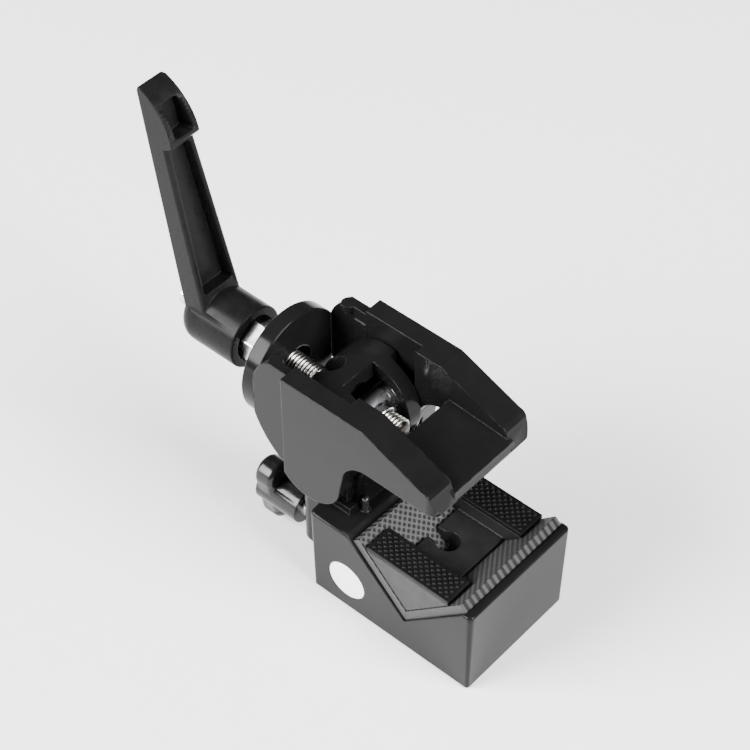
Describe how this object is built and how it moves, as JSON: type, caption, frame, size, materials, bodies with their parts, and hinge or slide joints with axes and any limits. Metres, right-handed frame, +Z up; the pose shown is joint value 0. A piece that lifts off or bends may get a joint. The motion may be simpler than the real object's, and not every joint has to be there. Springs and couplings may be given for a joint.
{
  "type": "super clamp",
  "caption": "Die-cast grip clamp with a padded V jaw, a hinged upper jaw drawn shut by a screw and ratchet lever, a flat-grip wedge and a hex stud socket.",
  "frame": {"origin": "centre of the lower jaw's flat base face", "axes": "+X from the lever towards the jaw's nose, +Z up from the base; the jaws swing in the XZ plane"},
  "size_m": [0.1474, 0.048, 0.1469],
  "materials": {
    "jaw_paint": "gloss black paint over die-cast aluminium",
    "lever_paint": "satin black paint over die-cast zinc",
    "pad_rubber": "dimpled black rubber",
    "strip_rubber": "bumped black rubber",
    "badge_white": "blank white disc",
    "steel": "turned bright steel",
    "black_steel": "blackened steel",
    "nut_chrome": "chromed",
    "bronze": "plain bearing bronze",
    "nylon": "nylon",
    "knob_plastic": "black moulded plastic",
    "wedge_plastic": "black moulded plastic"
  },
  "bodies": {
    "lower_jaw": {"lower_jaw_casting": "jaw_paint", "rear_groove_pad": "pad_rubber", "front_groove_pad": "pad_rubber", "side_badge": "badge_white", "hinge_pin": "jaw_paint", "hinge_bushes": "bronze", "hinge_shims": "nylon", "lock_bush": "black_steel", "lock_spring": "steel"},
    "lock_plunger": {"stud_lock_pin": "black_steel"},
    "upper_jaw": {"upper_jaw_casting": "jaw_paint", "upper_jaw_pad": "pad_rubber"},
    "swivel_nut": {"trunnion_nut": "nut_chrome"},
    "washer": {"thrust_washer": "steel"},
    "spindle": {"spindle": "steel", "hex_collar": "steel", "lever_insert": "steel", "lever_screw": "steel", "screw_washer": "steel"},
    "lever": {"lever_handle": "lever_paint", "lever_spring": "steel"},
    "shoe": {"pressure_shoe": "bronze"},
    "knob": {"knob_screw": "steel", "knob_head": "knob_plastic"},
    "wedge": {"wedge_body": "wedge_plastic", "left_grip_strip": "strip_rubber", "right_grip_strip": "strip_rubber"}
  },
  "joints": [
    {"name": "nut_swivel", "type": "hinge", "parent": "lower_jaw", "child": "swivel_nut", "pos_m": [-0.02985, 0, 0.0643], "axis": [0, 1, 0], "range_deg": [-22.32, 32.55]},
    {"name": "spindle_travel", "type": "slide", "parent": "swivel_nut", "child": "washer", "axis": [1, 0, 0], "range_m": [-0.00483, 0.00705]},
    {"name": "spindle_spin", "type": "hinge", "parent": "washer", "child": "spindle", "pos_m": [-0.02985, 0, 0.0643], "axis": [1, 0, 0], "range_deg": [-1392, 2030]},
    {"name": "lever_lift", "type": "slide", "parent": "spindle", "child": "lever", "axis": [-1, 0, 0], "range_m": [0, 0.0035], "stiffness_N_per_m": 800, "springref_m": -0.004, "deforming": ["lever_spring"]},
    {"name": "jaw_hinge", "type": "hinge", "parent": "lower_jaw", "child": "upper_jaw", "pos_m": [-0.03385, 0, 0.0525], "axis": [0, 1, 0], "range_deg": [-24, 35]},
    {"name": "knob_travel", "type": "slide", "parent": "lower_jaw", "child": "shoe", "axis": [1, 0, 0], "range_m": [-0.005, 0.003]},
    {"name": "knob_spin", "type": "hinge", "parent": "shoe", "child": "knob", "pos_m": [-0.04635, -0.01, 0.015], "axis": [1, 0, 0], "range_deg": [-1800, 1080]},
    {"name": "plunger_pull", "type": "slide", "parent": "lower_jaw", "child": "lock_plunger", "axis": [0, 0, 1], "range_m": [0, 0.0025], "stiffness_N_per_m": 300, "springref_m": -0.003, "deforming": ["lock_spring"]},
    {"name": "wedge_slide", "type": "slide", "parent": "lower_jaw", "child": "wedge", "axis": [0, -1, 0], "range_m": [0, 0.052]}
  ],
  "couplings": [
    {"joint": "nut_swivel", "follows": "spindle_spin", "ratio": 0.016034},
    {"joint": "spindle_travel", "follows": "spindle_spin", "m_per_rad": 0.00019894},
    {"joint": "jaw_hinge", "follows": "spindle_spin", "ratio": 0.017241},
    {"joint": "knob_spin", "follows": "knob_travel", "rad_per_m": 6283.2}
  ]
}
